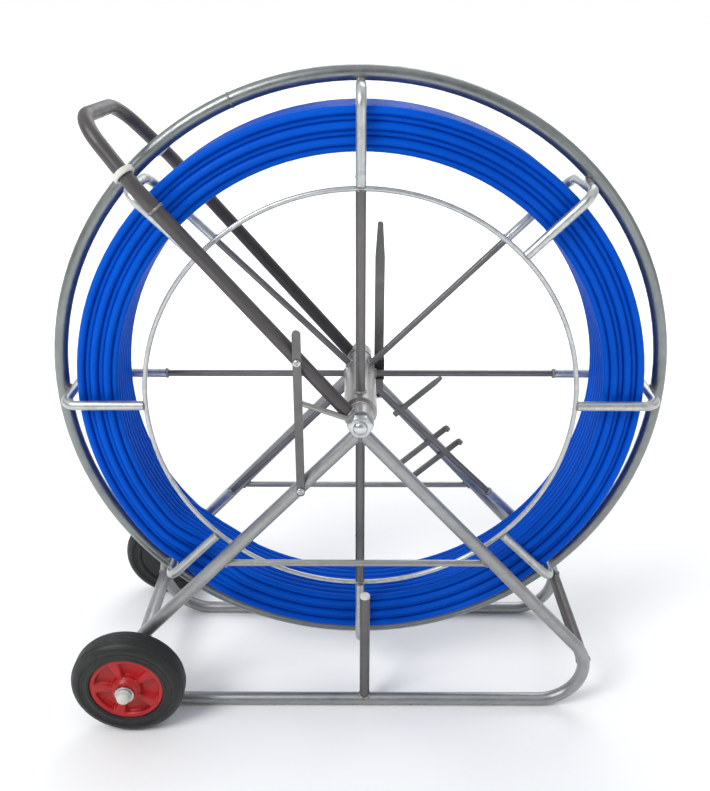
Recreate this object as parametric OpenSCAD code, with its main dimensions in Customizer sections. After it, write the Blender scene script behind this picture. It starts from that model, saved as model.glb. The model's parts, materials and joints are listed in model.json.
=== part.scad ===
// Cage reel with a long coated duct rod, on a tube stand with two wheels.
// +Y runs along the reel's axle from the front of the stand to its rear.
// The origin is on the ground, straight under the axle.

/* [Reel cage] */
// Radius of the rim tube's centre line
rim_radius = 450; // [440:5:465]
// Diameter of the rim tube
rim_tube_d = 20; // [16:1:22]
// Diameter of the bent hoop rods
hoop_d = 14; // [12:1:16]
// Centre-line radius of the hoops' corners
hoop_bend_r = 22; // [18:1:26]
// Distance between the front and rear arms of a hoop
cage_width = 122; // [118:1:126]
// How far the cage sits behind the stand's middle plane
cage_y = -25; // [-27:1:-22]
// Radius of the front ring that ties the hoops' front arms
inner_ring_radius = 312; // [300:1:320]
// Diameter of that ring's rod
inner_ring_d = 7; // [5:1:8]
// Radius at which the rear arms end and the rear spokes begin
arm_end_radius = 306; // [290:1:320]
// Diameter of the rear spokes
spoke_d = 10; // [8:1:12]
// Diameter of the two front spokes
front_spoke_d = 14; // [12:1:16]

/* [Winding] */
// Diameter of the coated rod
rod_d = 11; // [9:0.5:12]
// Rod turns side by side across the cage
turns_wide = 9; // [8:1:9]
// Layers of turns, one on the other
turn_layers = 6; // [4:1:7]
// Free space between the winding and the hoops
winding_gap = 13; // [2:1:16]
// Diameter of the ferrule crimped on the rod's free end
ferrule_d = 14; // [13:0.5:15]
// Length of the ferrule's body
ferrule_len = 42; // [30:1:50]
// Diameter of the ferrule's threaded stud
stud_d = 10; // [8:1:12]
// Length of the threaded stud
stud_len = 18; // [12:1:24]

/* [Hub] */
// Height of the reel's axle above the ground
hub_height = 525; // [522:1:535]
// Diameter of the hub barrel
barrel_d = 48; // [44:1:52]
// Diameter of the barrel's rear neck
neck_d = 36; // [34:1:38]
// Diameter of the fixed axle
axle_d = 20; // [16:1:22]
// Radial running clearance in the bushes
running_gap = 0.05; // [0.02:0.01:0.1]

/* [Stand] */
// Distance between the centre planes of the two side frames
track = 235; // [233:1:240]
// How far the middle of the side frames lies behind the middle of the wheels
frame_y = -12.5; // [-15:0.5:-11]
// Diameter of the stand's tubes
tube_d = 20; // [18:1:22]
// Wall of the stand's tubes
tube_wall = 2; // [1.5:0.5:3]
// Height at which the lines of a side frame's two legs meet
leg_top_z = 507; // [504:1:510]
// Slope of the right legs
right_leg_angle = 48; // [47.5:0.25:48.5]
// Slope of the left legs
left_leg_angle = 46.5; // [46:0.25:47.5]
// Sideways distance from the axle to the outermost points of the two bends
foot_x = 363; // [360:1:366]
// Height of the rod that ties the two legs of a side frame
crossbar_height = 281; // [260:1:300]
// Diameter of that rod
crossbar_d = 10; // [8:1:12]
// Height of the short post on the front rail
post_height = 206; // [180:1:212]
// Diameter of the post
post_d = 16; // [14:1:18]

/* [Handle] */
// Slope of the handle arms
arm_angle = 49.5; // [48.5:0.5:50]
// How far under the axle's middle the arms' line passes
arm_drop = 10; // [6:1:12]
// Distance from the axle at which the handle loop is joined to its arms
loop_start = 400; // [390:1:410]
// Distance from the axle to the loop's inward corners
loop_corner = 440; // [436:1:446]
// Length of the loop's slanting side, from corner to corner
loop_side_len = 105; // [100:5:110]
// Outer diameter of the rubber grip
grip_d = 27; // [25:1:30]

/* [Wheels] */
// Wheel diameter
wheel_d = 176; // [170:2:180]
// Width of the tyre
tyre_w = 44; // [40:1:48]
// Diameter of the rim under the tyre
wheel_rim_d = 116; // [108:1:120]
// Distance between the wheels' middle planes
wheel_track = 350; // [348:1:360]
// Diameter of the wheel axle
wheel_axle_d = 16; // [14:1:18]

/* [Brake] */
// Width of the brake lever's flat bar
lever_w = 15; // [13:1:16]
// Thickness of the bar
lever_t = 6; // [5:0.5:6]
// Height of the lever's free end above the axle
lever_rise = 232; // [200:1:240]
// Sideways distance from the axle to the lever's middle line
lever_x = 30.5; // [30:0.5:32]

/* [Hidden] */
$fn = 48;

// Cage
hoop_count = 8;
hoop_step = 360 / hoop_count;
front_y = cage_y - cage_width / 2;
rear_y = cage_y + cage_width / 2;
weld = 1;                                   // how deep a welded rod is let into its neighbour
hoop_radius = rim_radius - rim_tube_d / 2 - hoop_d / 2 + weld;
hoop_corner = hoop_radius - hoop_bend_r;
front_arm_end = inner_ring_radius + inner_ring_d / 2 - weld / 2;
front_spoke_end = inner_ring_radius - inner_ring_d / 2 + weld / 2;
rim_wall = 2;
vent_d = 6;                                 // vent hole that a galvanised closed tube has

// Winding
layer_pitch = rod_d * sin(60);
winding_outer = hoop_radius - hoop_d / 2 - winding_gap;
winding_inner = winding_outer - rod_d - (turn_layers - 1) * layer_pitch;
winding_half = turns_wide * rod_d / 2;
winding_round = rod_d;
rod_end_angle = 262;                        // where the rod's outer end leaves the winding
rod_end_radius = winding_outer - rod_d / 2 + 0.4;
ferrule_y = cage_y + 38.5;
tail_len = 110;                             // straight end of the rod, from the winding to the ferrule
ferrule_chamfer = 1.5;

// Hub
barrel_r = barrel_d / 2;
axle_r = axle_d / 2;
bush_r = axle_r + 5;
bush_len = 28;
bush_flange_r = bush_r + 2.5;
bush_flange_t = 3;
neck_y = 76;                                // where the neck begins, from the barrel's middle
barrel_bore_r = bush_r - 2;
socket_half = 14;
socket_r = 19;
side_y = track / 2;
front_plane = frame_y - side_y;
rear_plane = frame_y + side_y;
axle_half = side_y + 34;
hub_washer_t = 4;
barrel_half = side_y - socket_half - hub_washer_t - bush_flange_t - 0.5;
hub_washer_r = 18;
nut_t = 14;
nut_across = 30;

// Stand
tube_r = tube_d / 2;
bore_r = tube_r - tube_wall;
rail_z = tube_r;
wheel_r = wheel_d / 2;
wheel_x = foot_x;
axle_tube_r = 11;
right_bend_r = bend_r(right_leg_angle);
left_bend_r = bend_r(left_leg_angle);
right_leg_len = leg_len(right_leg_angle);
left_leg_len = leg_len(left_leg_angle);
right_bend_x = foot_x - right_bend_r;
left_bend_x = left_bend_r - foot_x;
left_split = asin((wheel_r - rail_z - left_bend_r) / left_bend_r); // where the wheel axle parts leg and rail
cross_tube_angle = 10;                      // up the bend from its outermost point
cross_tube_x = right_bend_x + right_bend_r * cos(cross_tube_angle);
cross_tube_z = rail_z + right_bend_r * (1 + sin(cross_tube_angle));
post_x = 8;
post_cap_h = 6;

// Stay, strut and screws of the front side frame
stay_x = 86;
stay_w = 12;
stay_t = 5;
stay_back = front_plane - tube_r;           // face of the stay that lies on the tubes
stay_leg_z = leg_top_z - stay_x * tan(left_leg_angle);
stay_arm_z = hub_height - arm_drop + stay_x * tan(arm_angle);
stay_over = 46;                             // how far the stay runs on above the handle arm
stay_under = 9;
screw_r = 3;
screw_head_r = 5.5;
screw_head_h = 4;
strut_angle = 20;
strut_d = 8;

// Handle loop: corner A turns the arm inwards, corner B turns it into the top
loop_side_angle = atan2(7, 24);
loop_top = loop_corner + loop_side_len * cos(loop_side_angle);
loop_top_half = side_y - loop_side_len * sin(loop_side_angle);
corner_a_r = 70;
corner_b_r = 55;
corner_a_cut = corner_a_r * tan(loop_side_angle / 2);
corner_b_turn = 90 - loop_side_angle;
corner_b_cut = corner_b_r * tan(corner_b_turn / 2);
seam_lap = 0.0004;                          // degrees by which corner B runs into the side, so that they fuse
grip_start = corner_a_cut + 11;             // along the side, from corner A
collar_len = 8;
collar_d = 30;
slip_gap = 0.05;

// Wheels
wheel_axle_r = wheel_axle_d / 2;
wheel_y = wheel_track / 2;
wheel_hub_half = 27;
wheel_hub_r = 19;
wheel_bush_r = wheel_axle_r + 4;
wheel_rim_r = wheel_rim_d / 2;
axle_tube_half = wheel_y - wheel_hub_half - 6;
rim_lip = 4;
tyre_shoulder = 15;
web_half = 10;
pocket_count = 5;
wheel_washer_t = 3;
wheel_washer_r = 15;
cap_len = 14;
cap_gap = 0.6;

// Brake and cleats
pivot_x = lever_x;
pivot_r = 4;
pivot_z = leg_top_z - pivot_x * tan(right_leg_angle);
lever_y = 78;                               // middle of the bar's thickness
lever_foot = 8;
pad_gap = 0.5;
pad_h = 34;
pad_t = 14;
pad_front = 50;
pivot_head_r = 8;
pivot_head_h = 5;
cleat_w = 9;
cleat_t = 6;
cleat_inner_at = 178;                       // along the rear right leg, from its top
cleat_outer_at = 212;
cleat_reach_up = 44;
cleat_reach_down = 66;
peg_at = 100;
peg_reach_up = 92;
peg_reach_down = 12;
cleat_hook = 12;

// Value in whole micrometres, so that arcs and straights meet exactly.
function micron(v) = round(1000 * v) / 1000;

// Bend that joins a leg of slope a to the rail and has its outermost point at foot_x.
function bend_r(a) = micron((leg_top_z - rail_z - foot_x * tan(a)) / (1 - tan(a) + 1 / cos(a)));

// Leg of slope a, from its top to the bend.
function leg_len(a) = micron((foot_x - bend_r(a) * (1 - sin(a))) / cos(a));

// ---- Shapes in the planes of the side frames and of the cage ----

// Places children at a point of a plane square to the axle.
module at(x, y, z) { translate([x, y, z]) children(); }

// Places children at the middle of the reel's fixed axle.
module at_hub() { at(0, frame_y, hub_height) children(); }

// Places children in a side frame at a height: side is -1 at the front, 1 at the rear.
module in_frame(side, z) { at(0, frame_y + side * side_y, z) children(); }

// Turns a part drawn in the XY plane about the reel's axle by an angle counted from +X up.
module around_hub(angle) {
  at(0, 0, hub_height) rotate([0, -angle, 0]) children();
}

// Round bar along the axle direction.
module bar_y(r, y0, y1) {
  translate([0, y0, 0]) rotate([-90, 0, 0]) cylinder(r = r, h = y1 - y0);
}

// Pipe along the axle direction.
module pipe_y(r, bore, y0, y1) {
  difference() {
    bar_y(r, y0, y1);
    bar_y(bore, y0 - 1, y1 + 1);
  }
}

// Round bar along +X.
module bar_x(r, x0, x1) {
  translate([x0, 0, 0]) rotate([0, 90, 0]) cylinder(r = r, h = x1 - x0);
}

// Pipe along +X.
module pipe_x(r, bore, x0, x1) {
  difference() {
    bar_x(r, x0, x1);
    bar_x(bore, x0 - 1, x1 + 1);
  }
}

// Arc of round bar in the XY plane, centred on the origin, from angle a over turn degrees.
module arc(radius, r, a, turn) {
  rotate([0, 0, a]) rotate_extrude(angle = turn, $fn = 96) translate([radius, 0]) circle(r);
}

// The same arc as a pipe.
module arc_pipe(radius, r, bore, a, turn) {
  rotate([0, 0, a]) rotate_extrude(angle = turn, $fn = 96) translate([radius, 0])
    difference() {
      circle(r);
      circle(bore);
    }
}

// Lays a drawing of the XY plane into the XZ plane.
module upright() { rotate([90, 0, 0]) children(); }

// Solid forms that neighbours are cut back to
module barrel_form() { at_hub() bar_y(barrel_r, -barrel_half, barrel_half); }
module rim_form() {
  at(0, cage_y, hub_height) upright() arc(rim_radius, rim_tube_d / 2, 0, 360);
}
module inner_ring_form() {
  at(0, front_y, hub_height) upright() arc(inner_ring_radius, inner_ring_d / 2, 0, 360);
}
module axle_tube_form() {
  at(-wheel_x, 0, wheel_r) bar_y(axle_tube_r, -axle_tube_half, axle_tube_half);
}
module socket_form(side) { in_frame(side, hub_height) bar_y(socket_r, -tube_d, tube_d); }
module leg_form(side, slope, length) {
  in_frame(side, leg_top_z) rotate([0, slope, 0]) bar_x(tube_r, 0, length);
}
module arm_form(side) {
  handle_plane() translate([0, side * side_y, 0]) bar_x(tube_r, 0, loop_start);
}
module right_bend_form(side) {
  in_frame(side, rail_z + right_bend_r) translate([right_bend_x, 0, 0]) upright()
    arc(right_bend_r, tube_r, -90, 180 - right_leg_angle);
}

// ---- Reel cage ----

// Rim of the cage: a closed tube with one vent hole on its inner side.
module rim_ring() color("dimgray") difference() {
  at(0, cage_y, hub_height) upright() arc_pipe(rim_radius, rim_tube_d / 2, rim_tube_d / 2 - rim_wall, 0, 360);
  around_hub(hoop_step / 2)
    translate([0, cage_y, 0]) bar_x(vent_d / 2, rim_radius - rim_tube_d, rim_radius);
}

// One U-shaped hoop that the winding lies in, welded under the rim.
module cage_hoop(number) color("silver") difference() {
  around_hub((number - 1) * hoop_step) union() {
    translate([0, front_y, 0]) bar_x(hoop_d / 2, front_arm_end, hoop_corner);
    translate([hoop_corner, front_y + hoop_bend_r, 0]) arc(hoop_bend_r, hoop_d / 2, -90, 90);
    translate([hoop_radius, 0, 0]) bar_y(hoop_d / 2, front_y + hoop_bend_r, rear_y - hoop_bend_r);
    translate([hoop_corner, rear_y - hoop_bend_r, 0]) arc(hoop_bend_r, hoop_d / 2, 0, 90);
    translate([0, rear_y, 0]) bar_x(hoop_d / 2, arm_end_radius, hoop_corner);
  }
  rim_form();
  inner_ring_form();
}

// Thin ring that ties the front arms.
module inner_ring() color("darkgray") inner_ring_form();

// Spokes from the hub to the rear arm of each hoop.
module rear_spokes() color("gray") difference() {
  for (i = [0 : hoop_count - 1])
    around_hub(i * hoop_step) translate([0, rear_y, 0]) bar_x(spoke_d / 2, 0, arm_end_radius);
  barrel_form();
}

// Upright spoke of the front side, above or below the hub.
module front_spoke(angle) color("silver") difference() {
  around_hub(angle) translate([0, front_y, 0]) bar_x(front_spoke_d / 2, 0, front_spoke_end);
  barrel_form();
  inner_ring_form();
}

// Barrel that carries the spokes and turns on two flanged bushes.
module hub_barrel() color("gray") at_hub() difference() {
  union() {
    bar_y(barrel_r, -barrel_half, neck_y);
    bar_y(neck_d / 2, neck_y, barrel_half);
  }
  bar_y(barrel_bore_r, -barrel_half - 1, barrel_half + 1);
  bar_y(bush_r, -barrel_half - 1, bush_len - barrel_half);
  bar_y(bush_r, barrel_half - bush_len, barrel_half + 1);
}

// Flanged plain bush in one end of the barrel, front (-1) or rear (1).
module hub_bush(side) color("ivory") at_hub() mirror([0, side < 0 ? 1 : 0, 0]) difference() {
  union() {
    bar_y(bush_r, barrel_half - bush_len, barrel_half);
    bar_y(bush_flange_r, barrel_half, barrel_half + bush_flange_t);
  }
  bar_y(axle_r + running_gap, 0, barrel_half + bush_flange_t + 1);
}

// ---- Winding ----

// Outer shape of the wound rod that lies in the hoops.
module winding_ring() {
  span = winding_outer - winding_inner;
  rotate_extrude($fn = 180) difference() {
    translate([winding_inner, -winding_half]) square([span, 2 * winding_half]);
    for (end = [-1, 1], edge = [0, 1])
      translate([winding_inner + edge * span, end * winding_half])
        difference() {
          square(2 * winding_round, center = true);
          translate([(edge == 0 ? 1 : -1) * winding_round, -end * winding_round]) circle(winding_round);
        }
  }
}

// Places children where the rod's outer end leaves the winding, with +Z towards its tip.
module at_rod_end() {
  around_hub(rod_end_angle) translate([rod_end_radius, ferrule_y, 0]) rotate([180, 0, 0]) children();
}

// The wound rod, with the straight end that leaves the winding's outer side between two hoops.
module rod_winding() color("royalblue") {
  at(0, cage_y, hub_height) upright() winding_ring();
  at_rod_end() cylinder(d = rod_d, h = tail_len);
}

// Ferrule on the rod's free end, with its threaded stud.
module rod_ferrule() color("gold")
  at_rod_end() translate([0, 0, tail_len]) union() {
    cylinder(d = ferrule_d, h = ferrule_len - ferrule_chamfer);
    translate([0, 0, ferrule_len - ferrule_chamfer])
      cylinder(d1 = ferrule_d, d2 = ferrule_d - 2 * ferrule_chamfer, h = ferrule_chamfer);
    translate([0, 0, ferrule_len]) cylinder(d = stud_d, h = stud_len);
  }

// ---- Side frames ----

module axle_socket(side) color("gray") in_frame(side, hub_height)
  pipe_y(socket_r, axle_r + running_gap, -socket_half, socket_half);

// Cuts a leg off at the upright plane in which the two legs of a side frame meet.
module mitre(side, end) {
  in_frame(side, leg_top_z) translate([end * tube_d, 0, 0])
    cube([2 * tube_d, 2 * tube_d, 4 * tube_d], center = true);
}

module right_leg(side) color("gray") difference() {
  in_frame(side, leg_top_z) rotate([0, right_leg_angle, 0]) pipe_x(tube_r, bore_r, -tube_d, right_leg_len);
  socket_form(side);
  mitre(side, -1);
}

// Left leg, with the upper part of its bend, down to the tube round the wheel axle.
module left_leg(side) color("gray") difference() {
  in_frame(side, leg_top_z) rotate([0, 180 - left_leg_angle, 0]) union() {
    pipe_x(tube_r, bore_r, -tube_d, left_leg_len);
    translate([left_leg_len, 0, left_bend_r]) upright()
      arc_pipe(left_bend_r, tube_r, bore_r, -90, 90 - left_leg_angle - left_split);
  }
  socket_form(side);
  mitre(side, 1);
  axle_tube_form();
}

// Bend at the foot of the right leg, the rail along the ground and its turn up to the wheel axle.
module base_rail(side) color("gray") difference() {
  in_frame(side, rail_z) union() {
    translate([right_bend_x, 0, right_bend_r]) upright()
      arc_pipe(right_bend_r, tube_r, bore_r, -90, 180 - right_leg_angle);
    pipe_x(tube_r, bore_r, left_bend_x, right_bend_x);
    mirror([1, 0, 0]) translate([-left_bend_x, 0, left_bend_r]) upright()
      arc_pipe(left_bend_r, tube_r, bore_r, -90, 90 + left_split);
  }
  axle_tube_form();
}

module handle_arm(side) color("dimgray") difference() {
  handle_plane() translate([0, side * side_y, 0]) pipe_x(tube_r, bore_r, 0, loop_start);
  socket_form(side);
}

// Rod between the two legs.
module crossbar(side) color("darkgray") difference() {
  in_frame(side, crossbar_height) bar_x(crossbar_d / 2, -wheel_x, wheel_x);
  leg_form(side, right_leg_angle, 2 * right_leg_len);
  leg_form(side, 180 - left_leg_angle, 2 * left_leg_len);
  outside_legs(side);
}

// Blocks beyond the two legs at the rod's height.
module outside_legs(side) {
  drop = leg_top_z - crossbar_height;
  for (end = [-1, 1])
    in_frame(side, crossbar_height)
      translate([end * (drop / tan(end < 0 ? left_leg_angle : right_leg_angle) + wheel_x), 0, 0])
        cube([2 * wheel_x, 2 * tube_d, 2 * tube_d], center = true);
}

// ---- Cross members ----

module base_cross_tube() color("dimgray") difference() {
  at(cross_tube_x, frame_y, cross_tube_z) pipe_y(tube_r, bore_r, -side_y, side_y);
  for (side = [-1, 1])
    right_bend_form(side);
}

module axle_cross_tube() color("gray") at(-wheel_x, 0, wheel_r)
  pipe_y(axle_tube_r, wheel_axle_r + slip_gap, -axle_tube_half, axle_tube_half);

// ---- Stay, strut and post of the front side frame ----

module front_stay() color("dimgray") difference() {
  at(-stay_x - stay_w / 2, stay_back - stay_t, stay_leg_z - stay_under)
    cube([stay_w, stay_t, stay_arm_z + stay_over - stay_leg_z + stay_under]);
  for (z = [stay_leg_z, stay_arm_z])
    at(-stay_x, stay_back, z) bar_y(screw_r, -2 * stay_t, stay_t);
}

// Short rod from the socket's rim to the edge of the stay.
module front_strut() color("gray") difference() {
  at(0, stay_back - stay_t / 2 + 1, hub_height) rotate([0, 180 + strut_angle, 0])
    bar_x(strut_d / 2, 0, stay_x / cos(strut_angle));
  socket_form(-1);
  arm_form(-1);
  at(-stay_x - stay_w, stay_back - tube_d, hub_height) cube([1.5 * stay_w, 2 * tube_d, tube_d * 4]);
}

// Self-tapping screws through the stay into the leg and the arm.
module stay_screws() color("silver")
  for (z = [stay_leg_z, stay_arm_z])
    at(-stay_x, stay_back, z) union() {
      bar_y(screw_r, -stay_t, 0);
      bar_y(screw_head_r, -stay_t - screw_head_h, -stay_t);
    }

module front_post() color("gray") difference() {
  at(post_x, front_plane, rail_z) difference() {
    cylinder(d = post_d, h = post_height);
    translate([0, 0, -1]) cylinder(d = post_d - 2 * tube_wall, h = post_height + 2);
  }
  at(0, front_plane, rail_z) bar_x(tube_r, -wheel_x, wheel_x);
}

// Plug with a flat head that closes the post.
module post_cap() color("gainsboro") at(post_x, front_plane, rail_z + post_height) union() {
  cylinder(d = post_d, h = post_cap_h / 2);
  translate([0, 0, post_cap_h / 2]) cylinder(d1 = post_d, d2 = post_d - 3, h = post_cap_h / 2);
  translate([0, 0, -2 * post_cap_h]) cylinder(d = post_d - 2 * tube_wall, h = 2 * post_cap_h);
}

// ---- Handle ----

// Plane of the handle: X along the arms away from the axle, Y along the axle.
module handle_plane() {
  at(0, frame_y, hub_height - arm_drop) rotate([0, 180 + arm_angle, 0]) children();
}

// Stretch of the loop's side counted from corner A, as a pipe.
module loop_side(r, bore, from, to) {
  translate([loop_corner, side_y, 0]) rotate([0, 0, -loop_side_angle]) pipe_x(r, bore, from, to);
}

// Top of the loop between its two corners B, as a pipe.
module loop_head(r, bore) {
  top_half = loop_top_half - corner_b_cut;
  translate([loop_top, 0, 0]) pipe_y(r, bore, -top_half, top_half);
  for (side = [0, 1])
    mirror([0, side, 0]) translate([loop_top - corner_b_r, top_half, 0])
      arc_pipe(corner_b_r, r, bore, 0, corner_b_turn + seam_lap);
}

module handle_loop() color("dimgray") handle_plane() {
  loop_head(tube_r, bore_r);
  for (side = [0, 1])
    mirror([0, side, 0]) {
      translate([0, side_y, 0]) pipe_x(tube_r, bore_r, loop_start, loop_corner - corner_a_cut);
      translate([loop_corner - corner_a_cut, side_y - corner_a_r, 0])
        arc_pipe(corner_a_r, tube_r, bore_r, 90 - loop_side_angle, loop_side_angle);
      loop_side(tube_r, bore_r, corner_a_cut, loop_side_len - corner_b_cut);
    }
}

module handle_grip() color("black") handle_plane() {
  loop_head(grip_d / 2, tube_r + slip_gap);
  for (side = [0, 1])
    mirror([0, side, 0])
      loop_side(grip_d / 2, tube_r + slip_gap, grip_start, loop_side_len - corner_b_cut);
}

// Ring that closes one end of the grip.
module grip_collar(side) color("gainsboro") handle_plane() mirror([0, side < 0 ? 1 : 0, 0])
  loop_side(collar_d / 2, tube_r + slip_gap, grip_start - collar_len, grip_start);

// ---- Axle of the reel ----

module main_axle() color("silver") at_hub() bar_y(axle_r, -axle_half, axle_half);

module hub_washers() color("silver") at_hub()
  for (side = [0, 1])
    mirror([0, side, 0])
      pipe_y(hub_washer_r, axle_r + slip_gap, side_y - socket_half - hub_washer_t, side_y - socket_half);

module axle_nuts() color("silver") at_hub()
  for (side = [0, 1])
    mirror([0, side, 0]) difference() {
      translate([0, side_y + socket_half, 0]) rotate([-90, 0, 0])
        cylinder(d = nut_across / cos(30), h = nut_t, $fn = 6);
      bar_y(axle_r + slip_gap, 0, 2 * side_y);
    }

// ---- Cleats and peg on the rear right leg ----

// Places children on the leg's inner side, with +X down the leg and +Z square to it.
module on_rear_leg(along) {
  in_frame(1, leg_top_z) rotate([0, right_leg_angle, 0]) translate([along - cleat_w / 2, -tube_r, 0])
    children();
}

// Flat bar across the leg with a hook at its upper end.
module cleat(along) color("dimgray") on_rear_leg(along) union() {
  translate([0, -cleat_t, -cleat_reach_down]) cube([cleat_w, cleat_t, cleat_reach_down + cleat_reach_up]);
  translate([0, -cleat_t - cleat_hook, cleat_reach_up - cleat_t])
    cube([cleat_w, cleat_hook + cleat_t, cleat_t]);
}

// Plain flat bar above the cleats, out to the right of the leg.
module leg_peg() color("dimgray") on_rear_leg(peg_at)
  translate([0, -cleat_t, -peg_reach_down]) cube([cleat_w, cleat_t, peg_reach_down + peg_reach_up]);

// ---- Brake ----

// Stepped pin welded into the rear right leg's inner side.
module brake_pivot() color("silver") difference() {
  at(pivot_x, 0, pivot_z) union() {
    bar_y(pivot_r, lever_y - lever_t / 2 - nut_t / 2, rear_plane);
    bar_y(pivot_head_r, lever_y + lever_t / 2 + pad_gap, rear_plane);
  }
  leg_form(1, right_leg_angle, right_leg_len);
}

module brake_pivot_nut() color("silver") at(pivot_x, 0, pivot_z) difference() {
  translate([0, lever_y - lever_t / 2 - nut_t / 2, 0]) rotate([-90, 0, 0])
    cylinder(r = pivot_head_r, h = nut_t / 2 - pad_gap, $fn = 6);
  bar_y(pivot_r + slip_gap, 0, lever_y);
}

module brake_lever() color("darkgray") difference() {
  union() {
    at(lever_x - lever_w / 2, lever_y - lever_t / 2, pivot_z)
      cube([lever_w, lever_t, hub_height + lever_rise - pivot_z]);
    at(pivot_x, lever_y, pivot_z) bar_y(lever_foot, -lever_t / 2, lever_t / 2);
  }
  at(pivot_x, lever_y, pivot_z) bar_y(pivot_r + running_gap, -lever_t, lever_t);
}

// Friction block on the lever, beside the barrel.
module brake_pad() color("black") at(barrel_r + pad_gap, pad_front, hub_height - pad_h / 2)
  cube([pad_t, lever_y - lever_t / 2 - pad_front, pad_h]);

// ---- Wheels ----

module wheel_axle() color("silver") at(-wheel_x, 0, wheel_r)
  bar_y(wheel_axle_r, -wheel_y - wheel_hub_half - cap_len + 2, wheel_y + wheel_hub_half + cap_len - 2);

module wheel_washers() color("silver") at(-wheel_x, 0, wheel_r)
  for (side = [0, 1])
    mirror([0, side, 0]) {
      pipe_y(wheel_washer_r, wheel_axle_r + slip_gap, axle_tube_half, axle_tube_half + wheel_washer_t);
      pipe_y(wheel_washer_r, wheel_axle_r + slip_gap, wheel_y + wheel_hub_half + cap_gap,
        wheel_y + wheel_hub_half + cap_gap + wheel_washer_t);
    }

// Domed push-on caps that keep the wheels on.
module axle_caps() color("gainsboro") at(-wheel_x, 0, wheel_r)
  for (side = [0, 1])
    mirror([0, side, 0]) {
      cap_y = wheel_y + wheel_hub_half + cap_gap + wheel_washer_t;
      difference() {
        union() {
          bar_y(wheel_axle_r + 3, cap_y, cap_y + cap_len - 4);
          translate([0, cap_y + cap_len - 4, 0]) rotate([-90, 0, 0])
            cylinder(r1 = wheel_axle_r + 3, r2 = wheel_axle_r, h = 4);
        }
        bar_y(wheel_axle_r + slip_gap, 0, wheel_y + wheel_hub_half + cap_len - 2 + slip_gap);
      }
    }

// Places a wheel part drawn about the Y axis.
module at_wheel(side) { at(-wheel_x, side * wheel_y, wheel_r) children(); }

module tyre(side) color("dimgray") at_wheel(side) rotate([90, 0, 0]) rotate_extrude($fn = 96)
  difference() {
    union() {
      translate([wheel_rim_r, -tyre_w / 2]) square([wheel_r - wheel_rim_r - tyre_shoulder, tyre_w]);
      translate([wheel_rim_r, -tyre_w / 2 + tyre_shoulder])
        square([wheel_r - wheel_rim_r, tyre_w - 2 * tyre_shoulder]);
      for (end = [-1, 1])
        translate([wheel_r - tyre_shoulder, end * (tyre_w / 2 - tyre_shoulder)]) circle(tyre_shoulder);
    }
  }

// Pocket between two ribs of the rim's face.
module rim_pocket() {
  linear_extrude(height = tyre_w) intersection() {
    difference() {
      circle(r = wheel_rim_r - 2 * rim_lip);
      circle(r = wheel_hub_r + rim_lip);
    }
    rotate(-360 / pocket_count * 0.36)
      polygon([[0, 0], [wheel_d, 0], [wheel_d * cos(52), wheel_d * sin(52)]]);
  }
}

module wheel_rim(side) color("firebrick") at_wheel(side) rotate([90, 0, 0]) difference() {
  union() {
    cylinder(r = wheel_rim_r, h = tyre_w - 2 * rim_lip, center = true, $fn = 96);
    cylinder(r = wheel_hub_r, h = 2 * wheel_hub_half, center = true);
  }
  for (face = [0, 1], i = [0 : pocket_count - 1])
    mirror([0, 0, face]) rotate(i * 360 / pocket_count) translate([0, 0, web_half]) rim_pocket();
  cylinder(r = wheel_bush_r, h = 3 * wheel_hub_half, center = true);
}

module wheel_bush(side) color("ivory") at_wheel(side)
  pipe_y(wheel_bush_r, wheel_axle_r + running_gap, -wheel_hub_half, wheel_hub_half);

// ---- Drawing ----

rim_ring();
cage_hoop(1);  // cage_hoop_1
cage_hoop(2);  // cage_hoop_2
cage_hoop(3);  // cage_hoop_3
cage_hoop(4);  // cage_hoop_4
cage_hoop(5);  // cage_hoop_5
cage_hoop(6);  // cage_hoop_6
cage_hoop(7);  // cage_hoop_7
cage_hoop(8);  // cage_hoop_8
inner_ring();
rear_spokes();
front_spoke(90);  // front_spoke_top
front_spoke(270);  // front_spoke_bottom
hub_barrel();
hub_bush(-1);  // front_hub_bush
hub_bush(1);  // rear_hub_bush
rod_winding();
rod_ferrule();
left_leg(-1);  // front_left_leg
right_leg(-1);  // front_right_leg
base_rail(-1);  // front_base_rail
handle_arm(-1);  // front_handle_arm
crossbar(-1);  // front_crossbar
axle_socket(-1);  // front_axle_socket
left_leg(1);  // rear_left_leg
right_leg(1);  // rear_right_leg
base_rail(1);  // rear_base_rail
handle_arm(1);  // rear_handle_arm
crossbar(1);  // rear_crossbar
axle_socket(1);  // rear_axle_socket
base_cross_tube();
axle_cross_tube();
front_stay();
front_strut();
stay_screws();
front_post();
post_cap();
handle_loop();
handle_grip();
grip_collar(-1);  // front_grip_collar
grip_collar(1);  // rear_grip_collar
main_axle();
hub_washers();
axle_nuts();
cleat(cleat_inner_at);  // cleat_inner
cleat(cleat_outer_at);  // cleat_outer
leg_peg();
brake_pivot();
brake_pivot_nut();
brake_lever();
brake_pad();
wheel_axle();
wheel_washers();
axle_caps();
tyre(-1);  // front_tyre
wheel_rim(-1);  // front_wheel_rim
wheel_bush(-1);  // front_wheel_bush
tyre(1);  // rear_tyre
wheel_rim(1);  // rear_wheel_rim
wheel_bush(1);  // rear_wheel_bush
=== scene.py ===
import json
import math

import bmesh
import bpy
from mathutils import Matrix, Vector, noise


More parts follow.
